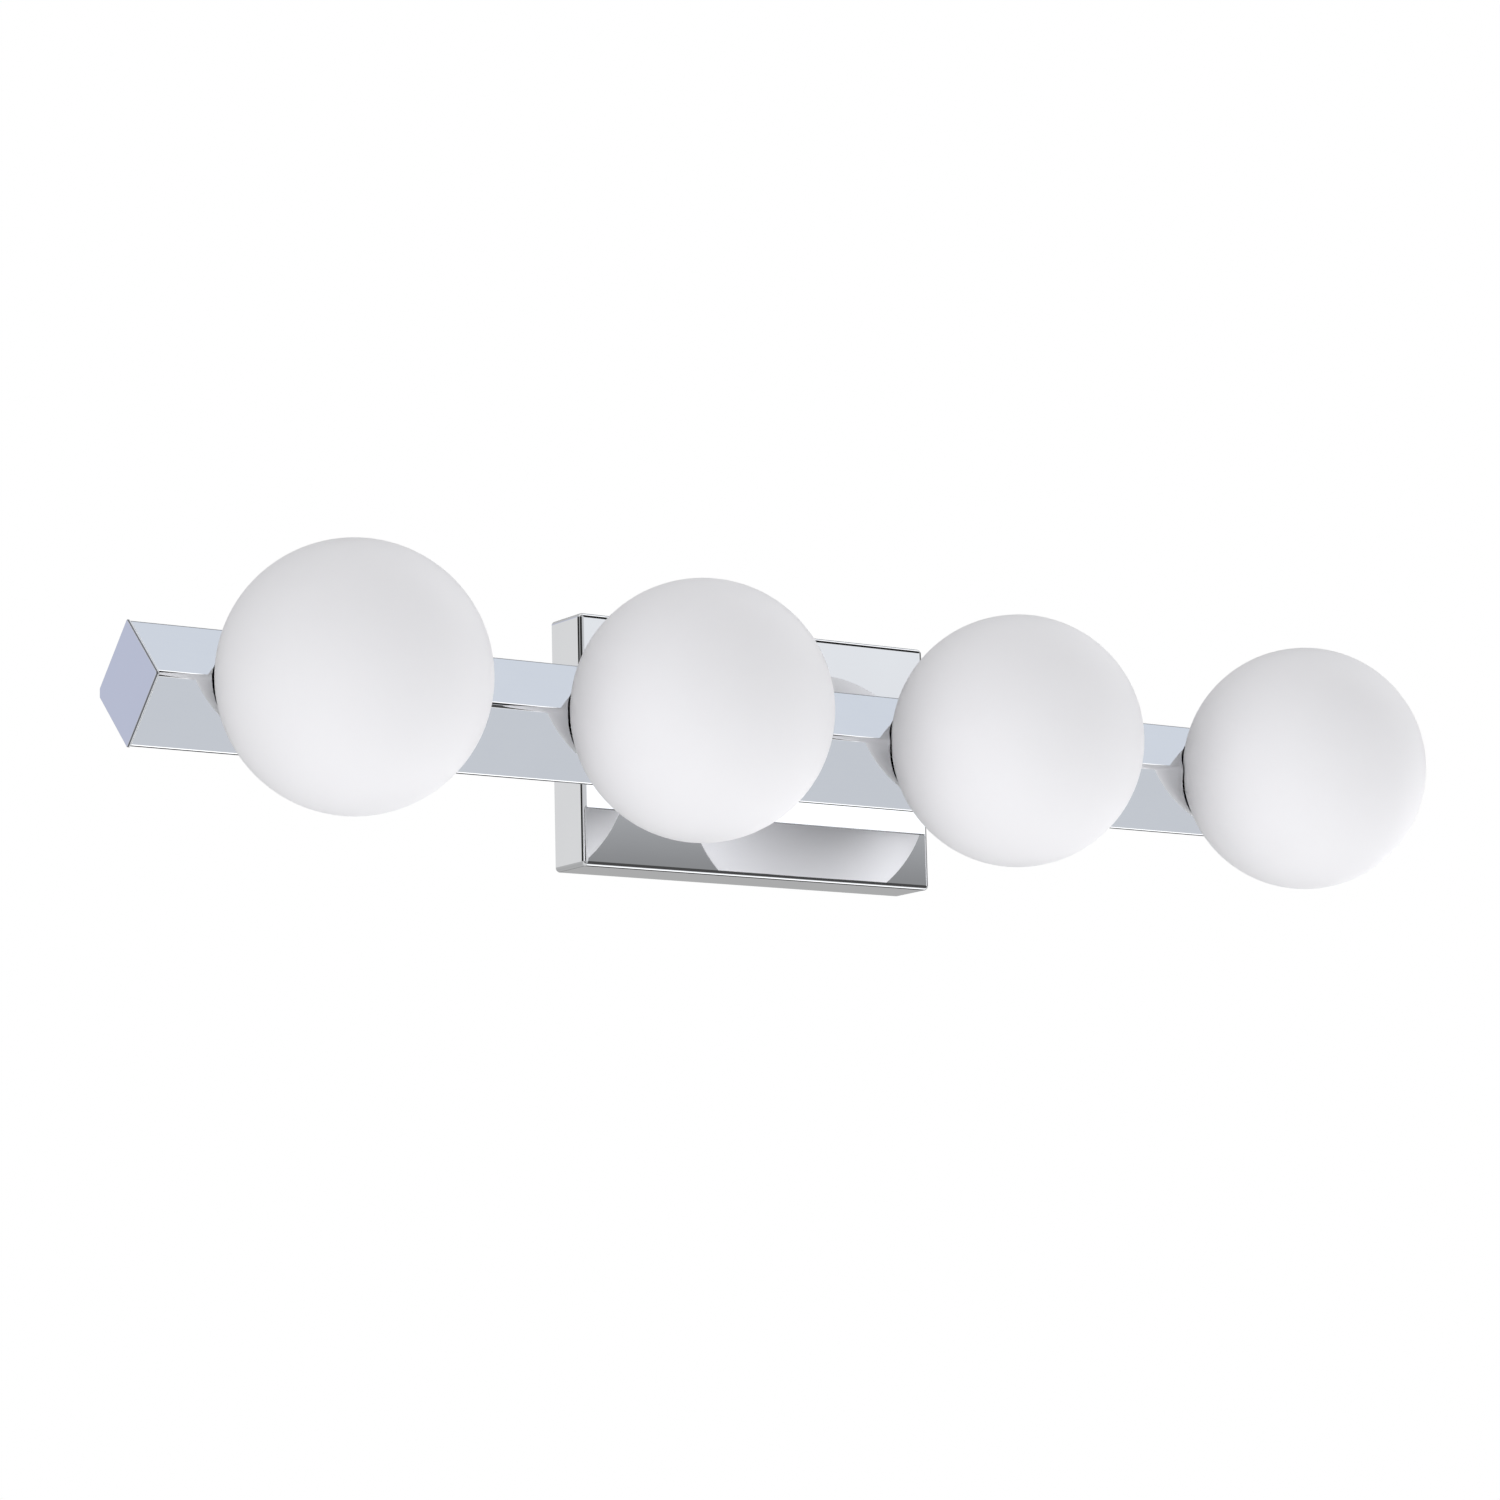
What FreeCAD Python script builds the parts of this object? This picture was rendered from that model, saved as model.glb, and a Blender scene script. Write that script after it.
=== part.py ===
import FreeCAD, Part
import math
import os

import Sketcher
from FreeCAD import Placement, Rotation, Vector

# A bathroom vanity light bar: a rectangular chrome backplate on the wall carries a square
# chrome tube set on its corner, and four opal glass globes nest in scallops cut through the
# tube's two front faces. Each globe grips a spring collar round a G9 lampholder.
#
# Frame: millimetres, +Z up, +X to the right along the bar, the wall is the plane y = 0 and
# the light faces -Y. The origin is the centre of the wall face.

# name, value, what it is
DRIVING_SIZES = [
    ("plate_width", 200, "backplate, along the bar"),
    ("plate_height", 120, "backplate, upwards"),
    ("plate_depth", 25, "backplate, out from the wall"),
    ("plate_sheet", 1.2, "backplate steel thickness"),
    ("plate_bend", 2.2, "backplate outside bend radius"),
    ("bar_length", 700, "overall length of the bar with its caps"),
    ("bar_side", 40, "side of the square tube"),
    ("bar_wall", 1.5, "wall of the square tube"),
    ("bar_corner", 2, "outside radius of the tube's corners"),
    ("bar_flat", 4, "width of the flat along the tube's rear corner"),
    ("saddle_gap", 3, "from the backplate's front to the tube's rear flat"),
    ("cap_thickness", 1.2, "end cap plate"),
    ("cap_corner", 0.8, "radius of the end cap's corners"),
    ("cap_edge", 0.3, "rounding of the end cap's rim"),
    ("cap_spigot", 4, "how far the end cap's spigot enters the tube"),
    ("seam_gap", 0.1, "seam between an end cap and the tube"),
    ("fit_gap", 0.1, "clearance of a piece that slips into another in assembly"),
    ("globe_diameter", 120, "outside of the glass globe"),
    ("globe_wall", 2.5, "glass thickness"),
    ("globe_pitch", 180, "from one globe to the next"),
    ("globe_stand", 57, "from the tube's axis forward to the globe's centre"),
    ("globe_gap", 1, "clearance between a globe and its scallop"),
    ("neck_diameter", 30, "outside of the globe's neck"),
    ("neck_wall", 2, "glass thickness of the neck"),
    ("gasket_thickness", 1.4, "silicone ring behind the globe's neck"),
    ("shelf_half_height", 18.163, "half the holder bracket's height across the tube"),
    ("shelf_sheet", 1.2, "holder bracket steel thickness"),
    ("shelf_half_width", 22, "half the holder bracket's width along the bar"),
    ("tab_inner", 15, "from a bracket's centre to the inner side of its tabs"),
    ("tab_half_height", 9.163, "from the tube's axis up to the outer end of a tab"),
    ("rivet_radius", 1.6, "blind rivet shank"),
    ("rivet_head", 3.2, "blind rivet head radius"),
    ("rivet_dome", 0.9, "blind rivet head height"),
    ("rivet_along", 18.5, "from a bracket's centre to its rivets"),
    ("rivet_half_height", 13.663, "from the tube's axis up to a rivet at the inner wall"),
    ("rivet_grip", 1.92, "rivet shank past the holder bracket's tab, inside"),
    ("collar_length", 11, "spring collar, forward of the holder bracket"),
    ("collar_sheet", 0.5, "spring collar steel thickness"),
    ("collar_grip", 0.25, "clearance between the collar's wall and the globe's neck"),
    ("collar_slot", 1.6, "width of a slot between two spring fingers"),
    ("collar_slot_depth", 7.5, "length of a slot between two spring fingers"),
    ("holder_radius", 9, "ceramic lampholder body"),
    ("holder_length", 16, "ceramic lampholder, front to back"),
    ("holder_behind", 8.784, "from the lampholder back to the tube's inner rear flat"),
    ("holder_taper", 1, "bevel round the lampholder's rear end"),
    ("holder_flange", 13.5, "radius of the lampholder's flange"),
    ("flange_thickness", 2, "lampholder flange"),
    ("holder_screw_at", 11.3, "from the lampholder's axis to its screws"),
    ("holder_screw", 1.25, "lampholder screw shank radius"),
    ("holder_screw_head", 2.2, "lampholder screw head radius"),
    ("holder_head_height", 1.5, "lampholder screw head height"),
    ("holder_screw_tip", 0.5, "lampholder screw shank past the flange, in its head"),
    ("lead_insertion", 3, "how far a lead enters the lampholder"),
    ("pin_spacing", 9, "between the two pin loops of a G9 lamp"),
    ("pin_wire", 0.75, "diameter of the pin wire"),
    ("pin_loop", 2.7, "outside width of a pin loop"),
    ("pin_length", 9.5, "how far a pin loop stands out of the lamp's base"),
    ("pin_root", 3, "how far a pin loop enters the lamp's base"),
    ("socket_gap", 0.25, "clearance round a pin loop in the lampholder"),
    ("lamp_base_radius", 7.2, "lamp base"),
    ("lamp_base_length", 13, "lamp base, front to back"),
    ("lamp_foot", 5, "length of the tapered rear of the lamp's base"),
    ("lamp_foot_taper", 0.7, "how much the lamp's base narrows at its rear"),
    ("lamp_shoulder", 1.5, "length of the capsule's tapered shoulder"),
    ("lamp_bulb_radius", 8, "lamp's frosted capsule"),
    ("lamp_bulb_length", 33, "lamp's frosted capsule, front to back"),
    ("lamp_seat", 0.3, "from the lampholder's face to the lamp's base"),
    ("nipple_spacing", 60, "between the two hollow nipples"),
    ("nipple_radius", 5, "outside of the M10 hollow nipple"),
    ("nipple_bore", 4, "bore radius of the hollow nipple"),
    ("nipple_inside", 11.284, "from the tube's inner rear flat forward to the nipple's end"),
    ("nipple_tail", 7.8, "from the plate's inner face to the nipple's rear end"),
    ("bar_nut", 3, "thin nut inside the tube"),
    ("plate_nut", 4.5, "nut inside the backplate"),
    ("nut_across_flats", 14, "M10 nut across its flats"),
    ("nut_gap", 0.05, "between a nut's bore and the nipple"),
    ("washer_radius", 9, "toothed washer inside the backplate"),
    ("washer_thickness", 1, "toothed washer inside the backplate"),
    ("saddle_half_length", 9, "half a saddle's length along the bar"),
    ("saddle_reach", 7, "how far the outer saddle wraps forward of the rear flat"),
    ("inner_saddle", 6.784, "inner saddle, forward of the tube's inner rear flat"),
    ("strap_height", 32, "wall bracket strap, upwards"),
    ("strap_sheet", 1.5, "wall bracket steel thickness"),
    ("ear_height", 18, "wall bracket ear, upwards"),
    ("ear_front_gap", 3.8, "from an ear's front edge to the inside of the backplate's face"),
    ("ear_gap", 0.4, "between an ear and the inside of the backplate"),
    ("slot_spacing", 88.9, "between the wall bracket's two slots"),
    ("slot_radius", 2.5, "half a slot's width"),
    ("slot_length", 14, "a slot, end to end"),
    ("side_screw", 2, "side screw shank radius"),
    ("side_screw_gap", 0.2, "between the side screw and its hole or notch"),
    ("side_screw_at", 12, "from the wall to the side screws"),
    ("side_screw_head", 4, "side screw head radius"),
    ("side_head_height", 2.2, "side screw head height"),
    ("driver_slot", 1, "width of a screwdriver slot"),
    ("side_nut", 3.2, "captive nut on the side screw"),
    ("side_nut_flats", 7, "captive nut across its flats"),
    ("earth_screw", 2.4, "green earth screw shank radius"),
    ("earth_head", 4.6, "green earth screw head radius"),
    ("earth_head_height", 2.6, "green earth screw head height"),
    ("earth_at", 14, "from the middle to the bracket's earth screw"),
    ("terminal_at", 72, "from the middle to the backplate's earth terminal"),
    ("terminal_drop", 34, "from the middle down to the backplate's earth terminal"),
    ("terminal_boss", 4, "radius of the boss under the earth terminal"),
    ("terminal_boss_height", 2.4, "boss under the earth terminal"),
    ("terminal_screw", 1.8, "earth terminal screw shank radius"),
    ("terminal_head", 3.4, "earth terminal screw head radius"),
    ("terminal_head_height", 2, "earth terminal screw head height"),
    ("eyelet_radius", 3.3, "eyelet on the earth lead"),
    ("eyelet_sheet", 1.4, "eyelet thickness"),
    ("eyelet_gap", 0.4, "from the eyelet to the boss and to the screw's head"),
    ("earth_lead", 0.6, "bare earth lead radius"),
    ("lead_radius", 0.85, "insulated lead"),
    ("connector_radius", 7, "twist-on connector at its mouth"),
    ("connector_tip", 4.6, "twist-on connector at its closed end"),
    ("connector_length", 23, "twist-on connector"),
    ("connector_mouth", 4.2, "twist-on connector bore radius"),
    ("connector_bore", 13, "twist-on connector bore depth"),
    ("connector_wing", 1.5, "how far a wing stands out beside the connector's mouth"),
    ("wing_thickness", 1.8, "twist-on connector wing"),
    ("wing_share", 0.6, "wing length as a share of the connector"),
    ("connector_up", 27, "from the middle to a connector's mouth"),
    ("connector_at", 12.5, "from the wall to a connector's axis"),
]
GLOBE_COUNT = 4

doc = FreeCAD.newDocument("vanity_light_bar")
sheet = doc.addObject("Spreadsheet::Sheet", "Sizes")
for row, (name, value, meaning) in enumerate(DRIVING_SIZES, 1):
    sheet.set(f"A{row}", name)
    sheet.set(f"B{row}", str(value))
    sheet.setAlias(f"B{row}", name)
    sheet.set(f"C{row}", meaning)
doc.recompute()

X_AXIS, Y_AXIS, Z_AXIS = Vector(1, 0, 0), Vector(0, 1, 0), Vector(0, 0, 1)
ALONG_X = Rotation(Y_AXIS, 90)
ALONG_Y = Rotation(X_AXIS, -90)
ALONG_Z = Rotation()
nodes = []


# ---- how sizes are read and pieces are made ---------------------------------------------
def value_of(expression):
    """The number that an expression on the sheet's sizes gives."""
    return float(sheet.evalExpression(str(expression)))


def bind(thing, **properties):
    """Ties properties of a document object to expressions on the sheet."""
    for name, expression in properties.items():
        thing.setExpression(name, str(expression))
    return thing


def put(thing, x=0, y=0, z=0, turn=ALONG_Z):
    """Places an object: a fixed turn, and a position tied to the sheet."""
    thing.Placement = Placement(Vector(), turn)
    for axis, expression in (("x", x), ("y", y), ("z", z)):
        thing.setExpression(f".Placement.Base.{axis}", str(expression))
    return thing


def cylinder(radius, length, x=0, y=0, z=0, turn=ALONG_Y):
    """A round bar; with ALONG_Y it runs from y towards the wall."""
    made = doc.addObject("Part::Cylinder", "Round")
    return put(bind(made, Radius=radius, Height=length), x, y, z, turn)


def cone(radius_start, radius_end, length, x=0, y=0, z=0, turn=ALONG_Y):
    made = doc.addObject("Part::Cone", "Taper")
    return put(bind(made, Radius1=radius_start, Radius2=radius_end, Height=length), x, y, z, turn)


def ball(radius, x=0, y=0, z=0):
    return put(bind(doc.addObject("Part::Sphere", "Ball"), Radius=radius), x, y, z)


def block(length, width, height, x=0, y=0, z=0):
    """A block whose lowest corner is at x, y, z."""
    made = doc.addObject("Part::Box", "Block")
    return put(bind(made, Length=length, Width=width, Height=height), x, y, z)


def hexagon(across_flats, length, x=0, y=0, z=0, turn=ALONG_Y):
    made = doc.addObject("Part::Prism", "Hexagon")
    made.Polygon = 6
    bind(made, Circumradius=f"({across_flats}) / sqrt(3)", Height=length)
    return put(made, x, y, z, turn)


def fuse(*parts):
    made = doc.addObject("Part::MultiFuse", "Joined")
    made.Shapes = list(parts)
    made.Refine = True
    return made


def group(*parts):
    """Several separate solids in one object, such as a set of like screws."""
    made = doc.addObject("Part::Compound", "Set")
    made.Links = list(parts)
    return made


def cut(base, *tools):
    made = doc.addObject("Part::Cut", "Trimmed")
    made.Base = base
    made.Tool = tools[0] if len(tools) == 1 else fuse(*tools)
    return made


def plane_of(body, role):
    return next(f for f in body.Origin.OriginFeatures if f.Role == role)


def outline(body, role, corners):
    """A closed sketch on one of the body's planes, each corner tied to the sheet."""
    sketch = body.newObject("Sketcher::SketchObject", "Outline")
    sketch.AttachmentSupport = (plane_of(body, role), [""])
    sketch.MapMode = "FlatFace"
    points = [Vector(value_of(across), value_of(up), 0) for across, up in corners]
    for index, point in enumerate(points):
        sketch.addGeometry(Part.LineSegment(point, points[(index + 1) % len(points)]))
    for index, (across, up) in enumerate(corners):
        following = (index + 1) % len(corners)
        sketch.addConstraint(Sketcher.Constraint("Coincident", index, 2, following, 1))
        for kind, expression in (("DistanceX", across), ("DistanceY", up)):
            rule = Sketcher.Constraint(kind, -1, 1, index, 1, value_of(expression))
            number = sketch.addConstraint(rule)
            sketch.setExpression(f"Constraints[{number}]", str(expression))
    return sketch


def pad(body, role, corners, length, both_ways=False):
    """A prism on an outline; one way it grows along +X from YZ, -Y from XZ, +Z from XY."""
    made = body.newObject("PartDesign::Pad", "Prism")
    made.Profile = outline(body, role, corners)
    bind(made, Length=length)
    if both_ways:
        made.SideType = "Symmetric"
    doc.recompute()
    return made


def new_body(label):
    body = doc.addObject("PartDesign::Body", "Body")
    body.Label = label
    return body


def round_edges(body, base, radius, chosen):
    """A fillet on the base feature's edges for which chosen(edge) is true."""
    made = body.newObject("PartDesign::Fillet", "Bend")
    names = [f"Edge{i}" for i, edge in enumerate(base.Shape.Edges, 1) if chosen(edge)]
    made.Base = (base, names)
    bind(made, Radius=radius)
    doc.recompute()
    return made


def runs_along(edge, axis):
    """True for a straight edge parallel to the axis."""
    if edge.Curve.TypeId != "Part::GeomLine":
        return False
    return abs(abs(edge.tangentAt(edge.FirstParameter).dot(axis)) - 1) < 1e-6


def keep(label, thing):
    """Names a finished sub-part, which is then written to its own file."""
    thing.Label = label
    nodes.append(thing)
    return thing


def rectangle(half_width, half_height):
    return [
        (f"-({half_width})", f"-({half_height})"),
        (f"{half_width}", f"-({half_height})"),
        (f"{half_width}", f"{half_height}"),
        (f"-({half_width})", f"{half_height}"),
    ]


# ---- places that many pieces share ------------------------------------------------------
S = "Sizes."
HALF_DIAGONAL = f"({S}bar_side / sqrt(2))"
REAR_FLAT = f"({HALF_DIAGONAL} - {S}bar_flat / 2)"
PLATE_FRONT = f"(-{S}plate_depth)"
PLATE_INSIDE = f"(-{S}plate_depth + {S}plate_sheet)"
BAR_AXIS = f"(-{S}plate_depth - {S}saddle_gap - {REAR_FLAT})"
GLOBE_Y = f"({BAR_AXIS} - {S}globe_stand)"
GLOBE_RADIUS = f"({S}globe_diameter / 2)"
NECK_RADIUS = f"({S}neck_diameter / 2)"
NECK_BORE = f"({NECK_RADIUS} - {S}neck_wall)"
TUBE_HALF = f"({S}bar_length / 2 - {S}cap_thickness - {S}seam_gap)"
INNER_DIAGONAL = f"({HALF_DIAGONAL} - {S}bar_wall * sqrt(2))"
INNER_FLAT = f"({REAR_FLAT} - {S}bar_wall)"
SHELF_DEPTH = f"({INNER_DIAGONAL} - {S}shelf_half_height)"
SHELF_Y = f"({BAR_AXIS} + {SHELF_DEPTH})"
NECK_END = f"({SHELF_Y} - {S}gasket_thickness)"
HOLDER_END = f"({BAR_AXIS} + {INNER_FLAT} - {S}holder_behind)"
HOLDER_Y = f"({HOLDER_END} - {S}holder_length)"
SADDLE_DEPTH = f"({INNER_FLAT} - {S}inner_saddle)"
NIPPLE_FRONT = f"({BAR_AXIS} + {INNER_FLAT} - {S}nipple_inside)"
EAR_DEPTH = f"({S}plate_depth - {S}plate_sheet - {S}ear_front_gap)"
SIDES = (-1, 1)


def station_x(index):
    """The middle of a globe along the bar."""
    return f"({index - (GLOBE_COUNT - 1) / 2} * {S}globe_pitch)"


def square_section(half_diagonal, rear):
    """A square on its corner round the bar's axis, its rear corner cut to a flat."""
    flat_half = f"({half_diagonal} - {rear})"
    return [
        (f"{BAR_AXIS} - {half_diagonal}", "0"),
        (BAR_AXIS, half_diagonal),
        (f"{BAR_AXIS} + {rear}", flat_half),
        (f"{BAR_AXIS} + {rear}", f"-{flat_half}"),
        (BAR_AXIS, f"-{half_diagonal}"),
    ]


# ---- wall bracket: a steel strap with two notched ears ----------------------------------
STRAP_END = f"({S}plate_width / 2 - {S}plate_sheet - {S}ear_gap)"


def make_wall_bracket():
    """Screws to the wall box. The ears' notches are open in front for the side screws."""
    strap = block(f"2 * {STRAP_END}", f"{S}strap_sheet", f"{S}strap_height",
                  f"-{STRAP_END}", f"-{S}strap_sheet", f"-{S}strap_height / 2")
    ears, notches, slots = [], [], []
    reach = f"({S}side_screw + {S}side_screw_gap)"
    for side in SIDES:
        inner = STRAP_END if side < 0 else f"({STRAP_END} - {S}strap_sheet)"
        ears.append(block(f"{S}strap_sheet", f"{EAR_DEPTH}", f"{S}ear_height",
                          f"{side} * {inner}", f"-{EAR_DEPTH}", f"-{S}ear_height / 2"))
        start = f"{side} * {inner} - {S}strap_sheet"
        width = f"3 * {S}strap_sheet"
        notches.append(cylinder(reach, width, start, f"-{S}side_screw_at", 0, ALONG_X))
        notches.append(block(width, f"{EAR_DEPTH}", f"2 * {reach}", start,
                             f"-{S}side_screw_at - {EAR_DEPTH}", f"-{reach}"))
        middle = f"{side} * {S}slot_spacing / 2"
        half_straight = f"({S}slot_length / 2 - {S}slot_radius)"
        through = f"2 * {S}strap_sheet"
        behind = f"-1.5 * {S}strap_sheet"
        for end in SIDES:
            slots.append(cylinder(f"{S}slot_radius", through,
                                  f"{middle} + {end} * {half_straight}", behind))
        slots.append(block(f"2 * {half_straight}", through, f"2 * {S}slot_radius",
                           f"{middle} - {half_straight}", behind, f"-{S}slot_radius"))
    earth_hole = cylinder(f"{S}earth_screw + {S}fit_gap", f"2 * {S}strap_sheet",
                          0, f"-1.5 * {S}strap_sheet", f"-{S}earth_at / 2")
    keep("wall_bracket", cut(fuse(strap, *ears), *notches, *slots, earth_hole))


def make_bracket_earth_screw():
    """Green hexagon-headed screw for the earth wire of the house supply."""
    drop = f"-{S}earth_at / 2"
    head = hexagon(f"{S}earth_head * sqrt(3)", f"{S}earth_head_height", 0,
                   f"-{S}strap_sheet - {S}earth_head_height", drop)
    shank = cylinder(f"{S}earth_screw", f"{S}strap_sheet + {S}earth_head_height / 2", 0,
                     f"-{S}strap_sheet - {S}earth_head_height / 2", drop)
    keep("bracket_earth_screw", fuse(head, shank))


# ---- backplate: a drawn chrome pan, open at the wall ------------------------------------
def rounded_pan(label, half_width, half_height, depth, bend):
    """A block from the wall forward, rounded on its front rim and its four corners."""
    body = new_body(label)
    solid = pad(body, "XZ_Plane", rectangle(half_width, half_height), depth)
    front = -value_of(depth)

    def bent(edge):
        at_front = abs(edge.BoundBox.YMin - front) < 1e-6 and abs(edge.BoundBox.YMax - front) < 1e-6
        return at_front or runs_along(edge, Y_AXIS)

    round_edges(body, solid, bend, bent)
    return body


def make_backplate():
    """Covers the wall box; holed for the two nipples, the side screws and the earth stud."""
    shell = rounded_pan("Pan", f"{S}plate_width / 2", f"{S}plate_height / 2",
                        f"{S}plate_depth", f"{S}plate_bend")
    hollow = rounded_pan("Hollow", f"{S}plate_width / 2 - {S}plate_sheet",
                         f"{S}plate_height / 2 - {S}plate_sheet",
                         f"{S}plate_depth - {S}plate_sheet", f"{S}plate_bend - {S}plate_sheet")
    holes = []
    for side in SIDES:
        holes.append(cylinder(f"{S}nipple_radius + {S}fit_gap", f"3 * {S}plate_sheet",
                              f"{side} * {S}nipple_spacing / 2",
                              f"{PLATE_FRONT} - {S}plate_sheet"))
        start = f"{side} * {S}plate_width / 2 - 1.5 * {S}plate_sheet"
        holes.append(cylinder(f"{S}side_screw + {S}side_screw_gap", f"3 * {S}plate_sheet",
                              start, f"-{S}side_screw_at", 0, ALONG_X))
    keep("backplate", cut(shell, hollow, *holes))


def make_side_fixings():
    """A domed screw through each side of the backplate, and its captive nut behind the ear."""
    screws, nuts = [], []
    ear_inside = f"({STRAP_END} - {S}strap_sheet)"
    tip = f"({ear_inside} - {S}ear_gap - {S}side_nut - {S}side_screw)"
    dome = f"({S}side_screw_head * sqrt(2))"
    for side in SIDES:
        turn = Rotation(Y_AXIS, 90 * side)
        face = f"{side} * {S}plate_width / 2"
        head = doc.addObject("Part::Common", "Head")
        head.Base = cylinder(f"{S}side_screw_head", f"{S}side_head_height",
                             face, f"-{S}side_screw_at", 0, turn)
        sunk = f"{S}plate_width / 2 + {S}side_head_height - {dome}"
        head.Tool = ball(dome, f"{side} * ({sunk})", f"-{S}side_screw_at")
        slot_depth = f"({S}side_head_height / 2)"
        slot_start = (f"{S}plate_width / 2 + {S}side_head_height - {slot_depth}" if side > 0
                      else f"-{S}plate_width / 2 - {S}side_head_height")
        driver = block(slot_depth, f"{S}side_screw_head * 2", f"{S}driver_slot", slot_start,
                       f"-{S}side_screw_at - {S}side_screw_head", f"-{S}driver_slot / 2")
        shank = cylinder(f"{S}side_screw", f"{S}plate_width / 2 - {tip}", f"{side} * {tip}",
                         f"-{S}side_screw_at", 0, turn)
        screws.append(fuse(cut(head, driver), shank))
        nut = hexagon(f"{S}side_nut_flats", f"{S}side_nut",
                      f"{side} * ({ear_inside} - {S}ear_gap - {S}side_nut)",
                      f"-{S}side_screw_at", 0, turn)
        bore = cylinder(f"{S}side_screw + {S}nut_gap", f"{S}side_nut * 3",
                        f"{side} * ({ear_inside} - {S}ear_gap - {S}side_nut * 2)",
                        f"-{S}side_screw_at", 0, turn)
        nuts.append(cut(nut, bore))
    keep("side_screws", group(*screws))
    keep("side_screw_nuts", group(*nuts))


# ---- the bar: a square chrome tube on its corner, and its two caps ----------------------
def make_bar_tube():
    """Square tube with a scallop for each globe and a hole for each nipple and rivet."""
    body = new_body("Tube")
    length = f"2 * {TUBE_HALF}"
    outer = pad(body, "YZ_Plane", square_section(HALF_DIAGONAL, REAR_FLAT), length, True)
    axis_y, rear = value_of(BAR_AXIS), value_of(f"{BAR_AXIS} + {REAR_FLAT}")

    def corner(edge):
        return runs_along(edge, X_AXIS) and edge.BoundBox.YMax < (axis_y + rear) / 2

    rounded = round_edges(body, outer, f"{S}bar_corner", corner)
    bore = body.newObject("PartDesign::Pocket", "Bore")
    bore.Profile = outline(body, "YZ_Plane", square_section(INNER_DIAGONAL, INNER_FLAT))
    bore.SideType = "Symmetric"
    bind(bore, Length=length)
    doc.recompute()
    assert bore.Shape.Volume < rounded.Shape.Volume / 2, "the bore has to hollow the tube"
    cuts = [ball(f"{GLOBE_RADIUS} + {S}globe_gap", station_x(k), GLOBE_Y)
            for k in range(GLOBE_COUNT)]
    for side in SIDES:
        cuts.append(cylinder(f"{S}nipple_radius + {S}fit_gap", f"{S}bar_side / 2",
                             f"{side} * {S}nipple_spacing / 2",
                             f"{BAR_AXIS} + {SADDLE_DEPTH}"))
    for x, y, z, turn in rivet_places():
        cuts.append(cylinder(f"{S}rivet_radius + {S}nut_gap", f"{S}bar_wall * 6", x, y, z, turn))
    keep("bar_tube", cut(body, *cuts))


def make_end_caps():
    """Flat caps of the tube's full section, each with a short spigot inside the tube."""
    for label, side in (("end_cap_left", -1), ("end_cap_right", 1)):
        body = new_body(f"{label}_plate")
        end = f"{S}bar_length / 2"
        plate = pad(body, "YZ_Plane", square_section(HALF_DIAGONAL, REAR_FLAT),
                    f"{S}cap_thickness")
        rear = value_of(f"{BAR_AXIS} + {REAR_FLAT}")
        thickness = value_of(f"{S}cap_thickness")
        rounded = round_edges(body, plate, f"{S}cap_corner",
                              lambda e: runs_along(e, X_AXIS) and e.BoundBox.YMax < rear)
        rim_x = thickness if side > 0 else 0
        round_edges(body, rounded, f"{S}cap_edge",
                    lambda e: abs(e.BoundBox.XMin - rim_x) + abs(e.BoundBox.XMax - rim_x) < 1e-6)
        put(body, end + f" - {S}cap_thickness" if side > 0 else f"-{end}")
        spigot = new_body(f"{label}_spigot")
        slack = f"{S}fit_gap * sqrt(2)"
        pad(spigot, "YZ_Plane",
            square_section(f"({INNER_DIAGONAL} - {slack})", f"({INNER_FLAT} - {S}fit_gap)"),
            f"{S}cap_spigot + {S}seam_gap")
        hollow = new_body(f"{label}_hollow")
        pad(hollow, "YZ_Plane",
            square_section(f"({INNER_DIAGONAL} - {slack} - {S}bar_wall * sqrt(2))",
                           f"({INNER_FLAT} - {S}fit_gap - {S}bar_wall)"),
            f"{S}cap_spigot * 2 + {S}seam_gap")
        inward = f"{end} - {S}cap_thickness - {S}cap_spigot - {S}seam_gap"
        put(spigot, inward if side > 0 else f"-({end}) + {S}cap_thickness")
        put(hollow, f"{inward} - {S}cap_spigot" if side > 0 else f"-({end}) + {S}cap_thickness")
        keep(label, fuse(body, cut(spigot, hollow)))


# ---- what holds a globe: bracket, rivets, gasket and spring collar ----------------------
def rivet_places():
    """Where each rivet starts inside the tube, and its turn square to the rear face."""
    places = []
    along = f"{S}rivet_along"
    depth = f"({INNER_DIAGONAL} - {S}rivet_half_height)"
    inside = f"({S}fit_gap + {S}rivet_grip)"
    for index in range(GLOBE_COUNT):
        for side in SIDES:
            for up in SIDES:
                places.append((f"{station_x(index)} + {side} * {along}",
                               f"{BAR_AXIS} + {depth} - {inside} / sqrt(2)",
                               f"{up} * ({S}rivet_half_height - {inside} / sqrt(2))",
                               Rotation(X_AXIS, -90 + 45 * up)))
    return places


def make_bracket_rivets():
    """Blind rivets that hold the holder brackets' tabs to the tube's rear faces."""
    rivets = []
    buried = f"({S}fit_gap + {S}rivet_grip)"
    out = f"({buried} + {S}bar_wall)"
    for x, y, z, turn in rivet_places():
        outward = turn.multVec(Z_AXIS)
        shank = cylinder(f"{S}rivet_radius", out, x, y, z, turn)
        head_at = [f"{start} + {out} * {round(step, 9)}"
                   for start, step in zip((x, y, z), outward)]
        head = doc.addObject("Part::Common", "Head")
        head.Base = cylinder(f"{S}rivet_head", f"{S}rivet_dome", *head_at, turn)
        dome = f"(({S}rivet_head^2 + {S}rivet_dome^2) / (2 * {S}rivet_dome))"
        dome_at = [f"{start} + ({out} + {S}rivet_dome - {dome}) * {round(step, 9)}"
                   for start, step in zip((x, y, z), outward)]
        head.Tool = ball(dome, *dome_at)
        rivets.append(fuse(shank, head))
    keep("bracket_rivets", group(*rivets))


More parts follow.
